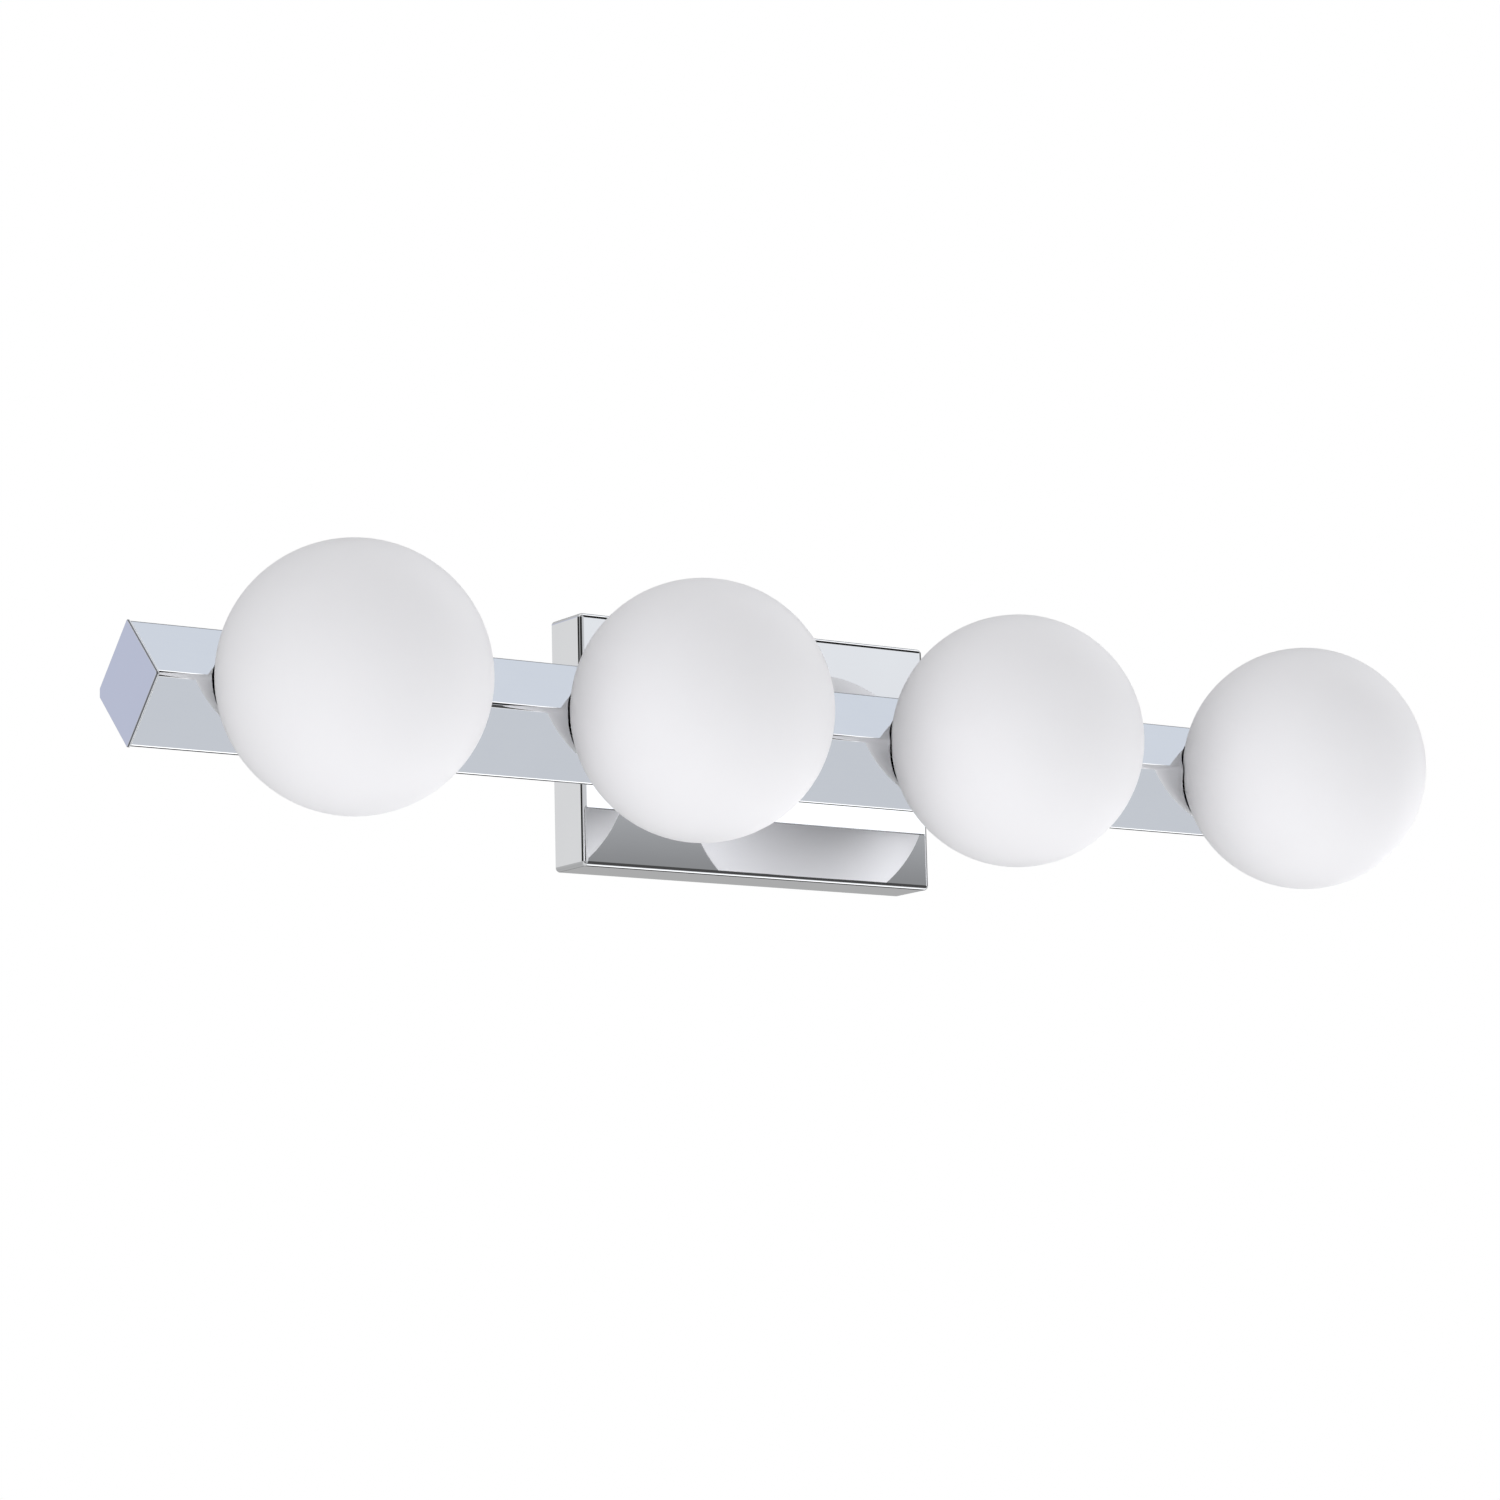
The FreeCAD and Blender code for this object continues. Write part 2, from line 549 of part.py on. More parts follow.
def make_holder_bracket(index):
    """Folded steel: a plate across the tube and four tabs along its rear faces."""
    body = new_body("Folded")
    wall = f"({INNER_DIAGONAL} - {S}fit_gap * sqrt(2))"
    fold = f"{S}shelf_sheet * sqrt(2)"
    inset = f"{S}shelf_sheet / sqrt(2)"
    front, rear = SHELF_DEPTH, f"({SHELF_DEPTH} + {S}shelf_sheet)"
    tab_end = f"({INNER_DIAGONAL} - {S}tab_half_height)"
    half = [
        (front, f"({wall} - {front})"),
        (tab_end, f"({wall} - {tab_end})"),
        (f"({tab_end} - {inset})", f"({wall} - {tab_end} - {inset})"),
        (rear, f"({wall} - {rear} - {fold})"),
    ]
    corners = [(f"{BAR_AXIS} + {depth}", height) for depth, height in half]
    corners += [(f"{BAR_AXIS} + {depth}", f"-{height}") for depth, height in reversed(half)]
    pad(body, "YZ_Plane", corners, f"2 * {S}shelf_half_width", True)
    tall = f"{S}bar_side"
    gap = block(f"2 * {S}tab_inner", f"{S}bar_side", tall, f"-{S}tab_inner",
                f"{BAR_AXIS} + {rear}", f"-{tall} / 2")
    hole = cylinder(f"{S}holder_radius + {S}fit_gap", f"{S}shelf_sheet * 3", 0,
                    f"{SHELF_Y} - {S}shelf_sheet")
    tools = [gap, hole]
    for side in SIDES:
        tools.append(cylinder(f"{S}holder_screw + {S}nut_gap", f"{S}shelf_sheet * 3",
                              f"{side} * {S}holder_screw_at", f"{SHELF_Y} - {S}shelf_sheet"))
    for x, y, z, turn in rivet_places()[:4]:
        across = f"{x} - {station_x(0)}"
        tools.append(cylinder(f"{S}rivet_radius + {S}nut_gap", f"{S}bar_wall * 6",
                              across, y, z, turn))
    keep(f"holder_bracket_{index + 1}", put(cut(body, *tools), station_x(index)))


def make_gasket(index):
    """Silicone ring between the globe's neck and the holder bracket."""
    ring = cylinder(NECK_RADIUS, f"{S}gasket_thickness - {S}collar_sheet - {S}fit_gap",
                    0, f"{NECK_END} + {S}fit_gap")
    bore = cylinder(f"{NECK_BORE} - {S}collar_grip + {S}fit_gap", f"{S}gasket_thickness * 3",
                    0, f"{NECK_END} - {S}gasket_thickness")
    keep(f"globe_gasket_{index + 1}", put(cut(ring, bore), station_x(index)))


def make_spring_collar(index):
    """A slotted steel collar: its fingers grip the inside of the globe's neck."""
    outer = f"({NECK_BORE} - {S}collar_grip)"
    inner = f"({outer} - {S}collar_sheet)"
    front = f"({SHELF_Y} - {S}collar_length)"
    wall = cylinder(outer, f"{S}collar_length", 0, front)
    flange = cylinder(NECK_RADIUS, f"{S}collar_sheet", 0, f"{SHELF_Y} - {S}collar_sheet")
    bore = cylinder(inner, f"{S}collar_length * 3", 0, f"{front} - {S}collar_length")
    slots = []
    for turn in (0, 60, 120):
        cosine, sine = round(math.cos(math.radians(turn)), 9), round(math.sin(math.radians(turn)), 9)
        slot = doc.addObject("Part::Box", "Slot")
        bind(slot, Length=f"{S}neck_diameter * 2", Width=f"{S}collar_slot_depth",
             Height=f"{S}collar_slot")
        slots.append(put(slot, f"-{S}neck_diameter * {cosine} - {S}collar_slot / 2 * {sine}",
                         front, f"{S}neck_diameter * {sine} - {S}collar_slot / 2 * {cosine}",
                         Rotation(Y_AXIS, turn)))
    keep(f"spring_collar_{index + 1}", put(cut(fuse(wall, flange), bore, *slots),
                                           station_x(index)))


def make_lampholder(index):
    """Ceramic G9 lampholder: two slots in front for the lamp's loops, a flange behind."""
    body = cylinder(f"{S}holder_radius", f"{S}holder_length - {S}holder_taper", 0, HOLDER_Y)
    tail = cone(f"{S}holder_radius", f"{S}holder_radius - {S}holder_taper", f"{S}holder_taper",
                0, f"{HOLDER_END} - {S}holder_taper")
    flange = cylinder(f"{S}holder_flange", f"{S}flange_thickness", 0,
                      f"{SHELF_Y} + {S}shelf_sheet")
    solid = fuse(body, tail, flange)
    tools = []
    for side in SIDES:
        tools.append(cylinder(f"{S}holder_screw + {S}nut_gap", f"{S}flange_thickness * 3",
                              f"{side} * {S}holder_screw_at",
                              f"{SHELF_Y} + {S}shelf_sheet - {S}flange_thickness"))
        width = f"({S}pin_loop + 2 * {S}socket_gap)"
        thick = f"({S}pin_wire + 2 * {S}socket_gap)"
        deep = f"({S}pin_length + {S}lamp_seat + {S}socket_gap)"
        tools.append(block(width, deep + " * 2", thick, f"-{width} / 2",
                           f"{HOLDER_Y} - {deep}", f"{side} * {S}pin_spacing / 2 - {thick} / 2"))
        tools.append(cylinder(f"{S}lead_radius + {S}nut_gap", f"{S}lead_insertion * 2", 0,
                              f"{HOLDER_END} - {S}lead_insertion",
                              f"{side} * {S}pin_spacing / 2"))
    keep(f"lampholder_{index + 1}", put(cut(solid, *tools), station_x(index)))


def make_holder_screws():
    """Two small pan-head screws fix each lampholder to its bracket from behind."""
    screws = []
    head_at = f"({SHELF_Y} + {S}shelf_sheet + {S}flange_thickness)"
    for index in range(GLOBE_COUNT):
        for side in SIDES:
            x = f"{station_x(index)} + {side} * {S}holder_screw_at"
            head = cylinder(f"{S}holder_screw_head", f"{S}holder_head_height", x, head_at)
            shank = cylinder(f"{S}holder_screw",
                             f"{S}shelf_sheet + {S}flange_thickness + {S}holder_screw_tip",
                             x, SHELF_Y)
            slot = block(f"{S}holder_screw_head * 2", f"{S}holder_head_height",
                         f"{S}driver_slot / 2", f"{x} - {S}holder_screw_head",
                         f"{head_at} + {S}holder_head_height - {S}holder_screw_tip",
                         f"-{S}driver_slot / 4")
            screws.append(cut(fuse(head, shank), slot))
    keep("holder_screws", group(*screws))


# ---- globe and lamp ---------------------------------------------------------------------
def make_globe(index):
    """Blown opal glass: a hollow ball with a short plain neck at the back."""
    centre = ball(GLOBE_RADIUS, 0, GLOBE_Y)
    neck = cylinder(NECK_RADIUS, f"{NECK_END} - {GLOBE_Y}", 0, GLOBE_Y)
    inside = ball(f"{GLOBE_RADIUS} - {S}globe_wall", 0, GLOBE_Y)
    bore = cylinder(NECK_BORE, f"({NECK_END} - {GLOBE_Y}) * 1.5", 0, GLOBE_Y)
    keep(f"globe_{index + 1}", put(cut(fuse(centre, neck), inside, bore), station_x(index)))


LAMP_SEAT = f"({HOLDER_Y} - {S}lamp_seat)"
LAMP_SHOULDER = f"({LAMP_SEAT} - {S}lamp_base_length)"


def make_lamp(index):
    """G9 capsule lamp: a frosted capsule, a moulded base and two wire loops."""
    number = index + 1
    dome = ball(f"{S}lamp_bulb_radius", 0,
                f"{LAMP_SHOULDER} - {S}lamp_bulb_length + {S}lamp_bulb_radius")
    side = cylinder(f"{S}lamp_bulb_radius",
                    f"{S}lamp_bulb_length - {S}lamp_bulb_radius - {S}lamp_shoulder", 0,
                    f"{LAMP_SHOULDER} - {S}lamp_bulb_length + {S}lamp_bulb_radius")
    shoulder = cone(f"{S}lamp_bulb_radius", f"{S}lamp_base_radius", f"{S}lamp_shoulder", 0,
                    f"{LAMP_SHOULDER} - {S}lamp_shoulder")
    keep(f"lamp_capsule_{number}", put(fuse(dome, side, shoulder), station_x(index)))
    collar = cylinder(f"{S}lamp_base_radius", f"{S}lamp_base_length - {S}lamp_foot", 0,
                      LAMP_SHOULDER)
    foot = cone(f"{S}lamp_base_radius", f"{S}lamp_base_radius - {S}lamp_foot_taper",
                f"{S}lamp_foot", 0, f"{LAMP_SEAT} - {S}lamp_foot")
    base = fuse(collar, foot)
    loops, bores = [], []
    for up in SIDES:
        height = f"{up} * {S}pin_spacing / 2"
        bend = f"(({S}pin_loop - {S}pin_wire) / 2)"
        leg = f"({S}pin_length - {bend} - {S}pin_wire / 2)"
        root = f"({LAMP_SEAT} - {S}pin_root)"
        legs = []
        for side in SIDES:
            legs.append(cylinder(f"{S}pin_wire / 2", f"{leg} + {S}pin_root", f"{side} * {bend}",
                                 root, height))
            bores.append(cylinder(f"{S}pin_wire / 2 + {S}nut_gap", f"{S}pin_root * 2",
                                  f"{side} * {bend}", root, height))
        ring = doc.addObject("Part::Torus", "Ring")
        bind(ring, Radius1=bend, Radius2=f"{S}pin_wire / 2")
        put(ring, 0, f"{LAMP_SEAT} + {leg}", height)
        front_half = block(f"{S}pin_loop * 2", f"{S}pin_loop * 2", f"{S}pin_loop * 2",
                           f"-{S}pin_loop", f"{LAMP_SEAT} + {leg} - {S}pin_loop * 2",
                           f"{height} - {S}pin_loop")
        loops.append(fuse(*legs, cut(ring, front_half)))
    keep(f"lamp_base_{number}", put(cut(base, *bores), station_x(index)))
    keep(f"lamp_pins_{number}", put(group(*loops), station_x(index)))


# ---- how the bar hangs on the backplate -------------------------------------------------
def make_saddles():
    """Die-cast saddles: one outside and one inside the tube's rear corner at each nipple."""
    outer, inner = [], []
    rear = f"{BAR_AXIS} + {REAR_FLAT}"
    half_flat = f"({S}bar_flat / 2 + {S}fit_gap)"
    high = f"({half_flat} + {S}saddle_reach)"
    outer_half = [(PLATE_FRONT, high), (f"{rear} - {S}saddle_reach", high),
                  (rear, half_flat)]
    inside = f"({INNER_DIAGONAL} - {S}fit_gap * sqrt(2))"
    inner_back = f"({INNER_FLAT} - {S}fit_gap)"
    inner_half = [(f"{BAR_AXIS} + {SADDLE_DEPTH}", f"({inside} - {SADDLE_DEPTH})"),
                  (f"{BAR_AXIS} + {inner_back}", f"({inside} - {inner_back})")]
    for side in SIDES:
        x = f"{side} * {S}nipple_spacing / 2"
        for half, made in ((outer_half, outer), (inner_half, inner)):
            body = new_body("Saddle")
            corners = half + [(depth, f"-{height}") for depth, height in reversed(half)]
            pad(body, "YZ_Plane", corners, f"2 * {S}saddle_half_length", True)
            hole = cylinder(f"{S}nipple_radius + {S}fit_gap", f"2 * {S}bar_side", 0,
                            f"{BAR_AXIS} - {S}bar_side / 2")
            made.append(put(cut(body, hole), x))
    keep("outer_saddles", group(*outer))
    keep("inner_saddles", group(*inner))


def make_nipples():
    """Hollow threaded nipples, their nuts and washers; the leads pass through their bores."""
    tubes, bar_nuts, plate_nuts, washers = [], [], [], []
    front = NIPPLE_FRONT
    rear = f"({PLATE_INSIDE} + {S}nipple_tail)"
    for side in SIDES:
        x = f"{side} * {S}nipple_spacing / 2"
        tube = cylinder(f"{S}nipple_radius", f"{rear} - {front}", x, front)
        bore = cylinder(f"{S}nipple_bore", f"({rear} - {front}) * 2", x,
                        f"{front} - {S}nipple_tail")
        tubes.append(cut(tube, bore))
        clear = cylinder(f"{S}nipple_radius + {S}nut_gap", f"4 * {S}bar_side", x,
                         f"{BAR_AXIS} - {S}bar_side")
        bar_nuts.append(cut(hexagon(f"{S}nut_across_flats", f"{S}bar_nut", x,
                                    f"{BAR_AXIS} + {SADDLE_DEPTH} - {S}bar_nut"), clear))
        washers.append(cut(cylinder(f"{S}washer_radius", f"{S}washer_thickness", x,
                                    PLATE_INSIDE), clear))
        plate_nuts.append(cut(hexagon(f"{S}nut_across_flats", f"{S}plate_nut", x,
                                      f"{PLATE_INSIDE} + {S}washer_thickness"), clear))
    keep("hollow_nipples", group(*tubes))
    keep("nipple_nuts", group(*bar_nuts, *plate_nuts))
    keep("nipple_washers", group(*washers))


# ---- wiring -----------------------------------------------------------------------------
BEND_SHARE = 0.45


def bent_path(points):
    """A wire of straight runs joined by tangent arcs as large as the runs allow."""
    edges, start, radii = [], points[0], []
    for before, corner, after in zip(points, points[1:], points[2:]):
        back, on = (before - corner), (after - corner)
        shorter = min(back.Length, on.Length)
        back.normalize()
        on.normalize()
        turn = math.pi - back.getAngle(on)
        trim = BEND_SHARE * shorter
        radius = trim / math.tan(turn / 2)
        middle_line = back + on
        middle_line.normalize()
        centre_distance = math.hypot(trim, radius)
        first, last = corner + back * trim, corner + on * trim
        middle = corner + middle_line * (centre_distance - radius)
        edges.append(Part.LineSegment(start, first).toShape())
        edges.append(Part.Arc(first, middle, last).toShape())
        start = last
        radii.append(radius)
    edges.append(Part.LineSegment(start, points[-1]).toShape())
    return Part.Wire(edges), radii


def round_lead(points, radius):
    """A round solid swept along the path."""
    path, radii = bent_path(points)
    direction = points[1] - points[0]
    section = Part.Wire(Part.Circle(points[0], direction, radius).toShape())
    solid = path.makePipeShell([section], True, False)
    expected = math.pi * radius ** 2 * path.Length
    assert abs(solid.Volume / expected - 1) < 0.01, "a lead's sweep lost its section"
    return solid, min(radii)


def lead_points(index, up):
    """The route of one lead: lampholder, along the tube's rear corner, nipple, connector."""
    station = value_of(station_x(index))
    side = -1 if station < 0 else 1
    nearest = index in (GLOBE_COUNT // 2 - 1, GLOBE_COUNT // 2)
    inside = value_of(PLATE_INSIDE)
    nipple = side * value_of(f"{S}nipple_spacing / 2")
    tail = value_of(HOLDER_END)
    pin = up * value_of(f"{S}pin_spacing / 2")
    run_depth = tail + (3.2 if nearest else 5.4)
    run_height = pin if nearest else up * 1.6
    bore = value_of(f"{S}nipple_bore / 3")
    bore_x = nipple + side * (bore if nearest else -bore)
    mouth = value_of(NIPPLE_FRONT)
    saddle_edge = nipple + side * value_of(f"{S}saddle_half_length")
    rear_end = inside + value_of(f"{S}nipple_tail")
    connector_y = -value_of(f"{S}connector_at")
    connector_z = up * value_of(f"{S}connector_up")
    fan = side * (0.95 if nearest else 2.9)
    inward = [] if nearest else [Vector(station - side * 9, run_depth, run_height)]
    return [
        Vector(station, tail - value_of(f"{S}lead_insertion"), pin),
        Vector(station, run_depth, pin),
        *inward,
        Vector(saddle_edge + side * 7, run_depth, run_height),
        Vector(saddle_edge + side * 0.5, mouth - 3.5, up * bore),
        Vector(bore_x, mouth - 6.5, up * bore),
        Vector(bore_x, rear_end + 3, up * bore),
        Vector(bore_x - side * 7, rear_end + 5, up * (bore + 3)),
        Vector(fan, connector_y + 0.9 * (1 if nearest else -1), connector_z - up * 10),
        Vector(fan * 0.9, connector_y + 0.9 * (1 if nearest else -1), connector_z + up * 9),
    ]


def make_leads():
    """Two insulated leads from each lampholder to the twist-on connectors."""
    for label, up in (("line_leads", 1), ("neutral_leads", -1)):
        solids = []
        for index in range(GLOBE_COUNT):
            solid, tightest = round_lead(lead_points(index, up), value_of(f"{S}lead_radius"))
            print(label, index + 1, "tightest bend", round(tightest, 2))
            solids.append(solid)
        made = doc.addObject("Part::Feature", label)
        made.Shape = Part.Compound(solids)
        keep(label, made)


def make_connectors():
    """Twist-on connectors over the ends of the leads, one above and one below the strap."""
    for label, up in (("line_connector", 1), ("neutral_connector", -1)):
        turn = Rotation(X_AXIS, 0 if up > 0 else 180)
        shell = cone(f"{S}connector_radius", f"{S}connector_tip", f"{S}connector_length",
                     0, 0, 0, ALONG_Z)
        bore = cylinder(f"{S}connector_mouth", f"{S}connector_bore * 2", 0, 0,
                        f"-{S}connector_bore", ALONG_Z)
        wing = block(f"({S}connector_radius + {S}connector_wing) * 2", f"{S}wing_thickness",
                     f"{S}connector_length * {S}wing_share",
                     f"-{S}connector_radius - {S}connector_wing", f"-{S}wing_thickness / 2",
                     f"{S}wing_thickness / 2")
        keep(label, put(cut(fuse(shell, wing), bore), 0, f"-{S}connector_at",
                        f"{up} * {S}connector_up", turn))


def make_earth_terminal():
    """A screw on the backplate's inner face with the fixture's bare earth lead under it."""
    x, z = f"{S}terminal_at", f"-{S}terminal_drop"
    eyelet_y = f"({PLATE_INSIDE} + {S}terminal_boss_height + {S}eyelet_gap)"
    head_y = f"({eyelet_y} + {S}eyelet_sheet + {S}eyelet_gap)"
    top = f"({head_y} + {S}terminal_head_height)"
    boss = cylinder(f"{S}terminal_boss", f"{S}terminal_boss_height", x, PLATE_INSIDE, z)
    shank = cylinder(f"{S}terminal_screw", f"{head_y} - {PLATE_INSIDE} + {S}eyelet_gap",
                     x, PLATE_INSIDE, z)
    head = cylinder(f"{S}terminal_head", f"{S}terminal_head_height", x, head_y, z)
    slot = block(f"{S}terminal_head * 2", f"{S}terminal_head_height", f"{S}driver_slot",
                 f"{x} - {S}terminal_head", f"{top} - {S}driver_slot", f"{z} - {S}driver_slot / 2")
    keep("earth_terminal", cut(fuse(boss, shank, head), slot))
    at = Vector(value_of(x), value_of(f"{eyelet_y} + {S}eyelet_sheet / 2"), value_of(z))
    ring = cut_ring(at, value_of(f"{S}eyelet_radius"),
                    value_of(f"{S}terminal_screw + {S}fit_gap"), value_of(f"{S}eyelet_sheet"))
    start = at + Vector(-2.9, 0, 0)
    points = [start, start + Vector(-7, 0, 1), start + Vector(-15, 4, -7),
              start + Vector(-26, 5, -5), start + Vector(-34, 3, 4), start + Vector(-44, 5, 6)]
    lead, tightest = round_lead(points, value_of(f"{S}earth_lead"))
    print("earth_lead tightest bend", round(tightest, 2))
    made = doc.addObject("Part::Feature", "earth_lead")
    made.Shape = ring.fuse(lead).removeSplitter()
    keep("earth_lead", made)


def cut_ring(centre, outer, inner, thickness):
    """A flat eyelet round Y, centred on a point."""
    base = centre - Vector(0, thickness / 2, 0)
    disc = Part.makeCylinder(outer, thickness, base, Y_AXIS)
    return disc.cut(Part.makeCylinder(inner, thickness, base, Y_AXIS))


# ---- build, check and write -------------------------------------------------------------
make_wall_bracket()
make_bracket_earth_screw()
make_backplate()
make_side_fixings()
make_bar_tube()
make_end_caps()
make_bracket_rivets()
make_saddles()
make_nipples()
for station in range(GLOBE_COUNT):
    make_holder_bracket(station)
    make_spring_collar(station)
    make_gasket(station)
    make_lampholder(station)
    make_globe(station)
    make_lamp(station)
make_holder_screws()
make_leads()
make_connectors()
make_earth_terminal()
doc.recompute()

failed = [thing.Label for thing in doc.Objects
          if "Invalid" in thing.State or "Error" in thing.State]
assert not failed, f"these objects did not build: {failed}"
for node in nodes:
    assert not node.Shape.isNull() and node.Shape.isValid(), f"{node.Label} has no valid shape"
    assert node.Shape.Solids, f"{node.Label} holds no solid"

os.makedirs("parts", exist_ok=True)
for node in nodes:
    node.Shape.exportStep(f"parts/{node.Label}.step")
print(len(nodes), "sub-parts written")
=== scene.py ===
import math

import bmesh
import bpy
from mathutils import Matrix, Vector


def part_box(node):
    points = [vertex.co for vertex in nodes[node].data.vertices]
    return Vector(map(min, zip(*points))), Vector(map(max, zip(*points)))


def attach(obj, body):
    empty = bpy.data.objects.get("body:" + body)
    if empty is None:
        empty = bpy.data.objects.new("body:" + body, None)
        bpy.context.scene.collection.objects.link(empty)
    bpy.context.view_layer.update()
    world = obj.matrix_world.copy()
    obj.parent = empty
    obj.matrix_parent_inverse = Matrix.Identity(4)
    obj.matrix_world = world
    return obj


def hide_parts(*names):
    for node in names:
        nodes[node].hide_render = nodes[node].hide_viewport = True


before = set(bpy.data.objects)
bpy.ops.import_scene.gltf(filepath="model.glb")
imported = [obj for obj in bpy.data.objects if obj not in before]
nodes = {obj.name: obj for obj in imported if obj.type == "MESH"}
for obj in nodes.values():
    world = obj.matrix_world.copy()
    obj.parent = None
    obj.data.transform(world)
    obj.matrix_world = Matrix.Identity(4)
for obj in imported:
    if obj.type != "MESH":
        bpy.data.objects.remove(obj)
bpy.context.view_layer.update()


# ---- The studio --------------------------------------------------------------------------
# A plain white sweep under soft light. Polished metal shows what stands round it, so the
# glossy surroundings are strips of light and shade that run along the bar, as strip boxes do.
class Socket:
    """One output of a shader node. Python's arithmetic on it adds Math nodes to its tree."""

    def __init__(self, tree, output=None):
        self.tree = tree
        self.output = output

    def node(self, kind, settings=None, values=None, give=0):
        """Adds a shader node: its settings first, then what its sockets hold or link to."""
        made = self.tree.nodes.new("ShaderNode" + kind)
        for name, setting in (settings or {}).items():
            if name == "stops":
                set_stops(made.color_ramp, setting)
            else:
                setattr(made, name, setting)
        for name, value in (values or {}).items():
            if isinstance(value, Socket):
                self.tree.links.new(value.output, made.inputs[name])
            else:
                made.inputs[name].default_value = value
        return Socket(self.tree, made.outputs[give] if made.outputs else None)

    def math(self, operation, first, second=0.0):
        return self.node("Math", {"operation": operation}, {0: first, 1: second})

    def __add__(self, other):
        return self.math("ADD", self, other)

    def __sub__(self, other):
        return self.math("SUBTRACT", self, other)

    def __rsub__(self, other):
        return self.math("SUBTRACT", other, self)

    def __mul__(self, other):
        return self.math("MULTIPLY", self, other)

    def __truediv__(self, other):
        return self.math("DIVIDE", self, other)

    def __neg__(self):
        return self.math("MULTIPLY", self, -1.0)

    __radd__ = __add__
    __rmul__ = __mul__

    def over(self, low, high):
        """0 below low, 1 above high and smooth between, for a value."""
        settings = {"interpolation_type": "SMOOTHSTEP"}
        return self.node("MapRange", settings, {"Value": self, "From Min": low, "From Max": high})

    def within(self, low_out, low_in, high_in, high_out):
        """1 between the two inner values, 0 past the two outer ones and smooth between."""
        return self.over(low_out, low_in) * (1.0 - self.over(high_in, high_out))

    def blend(self, first, second):
        """The first colour where this value is 0, the second where it is 1."""
        settings = {"data_type": "RGBA"}
        return self.node("Mix", settings, {0: self, 6: first, 7: second}, give=2)

    def parts(self):
        """The X, Y and Z of a vector."""
        return [self.node("SeparateXYZ", values={0: self}, give=axis) for axis in range(3)]


def set_stops(ramp, stops):
    """Gives a colour ramp its stops: pairs of a place from 0 to 1 and a colour."""
    while len(ramp.elements) < len(stops):
        ramp.elements.new(0.5)
    for element, (place, colour) in zip(ramp.elements, stops):
        element.position = place
        element.color = (*colour, 1.0)


def grey(level, blue=0.0):
    """A light's colour: a grey, made cooler by a share of blue."""
    return (level * (1 - blue), level * (1 - 0.35 * blue), level * (1 + 0.7 * blue))


# degrees round the bar: -180 behind it, -90 below, 0 in front, 90 above and 180 behind again
LAVENDER = (0.53, 0.56, 0.69)
STRIPS = [
    (-180, grey(0.43)), (-158, grey(0.43)), (-154, grey(0.03)), (-112, grey(0.03)),
    (-108, grey(1.50)), (-84, grey(1.45)), (-81.5, grey(0.65, 0.06)), (-72.5, grey(0.65, 0.07)),
    (-71, grey(1.20)), (-67, grey(1.20)), (-64, grey(0.07)), (6, grey(0.07)),
    (9.6, grey(0.25, 0.02)), (11, grey(0.48, 0.03)), (12.5, grey(0.85, 0.03)), (17, grey(0.95, 0.03)),
    (19, grey(0.02)), (70, grey(0.02)), (76, grey(1.40)), (97, grey(1.40)),
    (99.5, grey(0.75, 0.09)), (108, grey(0.75, 0.09)), (113, grey(0.32, 0.09)),
    (132, grey(0.30, 0.09)), (137, grey(0.05)), (156, grey(0.05)),
    (161, LAVENDER), (180, LAVENDER),
]
# the same with less contrast, for all that does not look along the bar to the right
SOFT_STRIPS = [
    (-180, grey(0.48)), (-150, grey(0.42)), (-118, grey(0.68)), (-75, grey(0.70)),
    (-52, grey(0.20)), (-20, grey(0.24)), (10, grey(0.58)), (28, grey(0.72)),
    (48, grey(0.15)), (64, grey(0.20)), (76, grey(0.82)), (108, grey(0.82)),
    (128, grey(0.45)), (152, grey(0.53)), (180, grey(0.48)),
]
# degrees round the room towards the light's left end: 0 behind it, 90 at its left, 180 in front
LEFT_STRIPS = [
    (0, LAVENDER), (28.5, LAVENDER), (30, grey(0.72)), (35, grey(0.76)), (37, grey(1.30)),
    (39, grey(1.30)), (41, grey(0.02)), (86, grey(0.02)), (91, grey(0.40)), (107, grey(0.40)),
    (111, grey(0.02)), (158, grey(0.03)), (164, grey(0.80)), (180, grey(0.84)),
]

# a direction's parts, from -1 to 1, where one set of strips gives way to another
ALONG_BAR = (0.30, 0.38, 0.74, 0.82)
LOW = (0.05, 0.10, 0.35, 0.50)
TO_LEFT = (0.24, 0.30)
TO_RIGHT = (0.80, 0.88)
DARK_END = (0.02, 0.02, 0.02, 1.0)
PANEL_HALF_WIDTH = (0.10, 0.42)
PANEL_DEPTH = (0.25, 0.85)
PANEL_SHARE = 0.8
PANEL = (0.55, 0.56, 0.58, 1.0)
DIMMEST = 0.02
COOLER = 1.015
# a flag behind the light, low and to its left, takes away this share of the soft light there
FLAG_SHARE = 0.5
FLAG_EDGE = (0.0, 0.5)
BLACK = (0.0, 0.0, 0.0, 1.0)
WHITE = (1.0, 1.0, 1.0, 1.0)

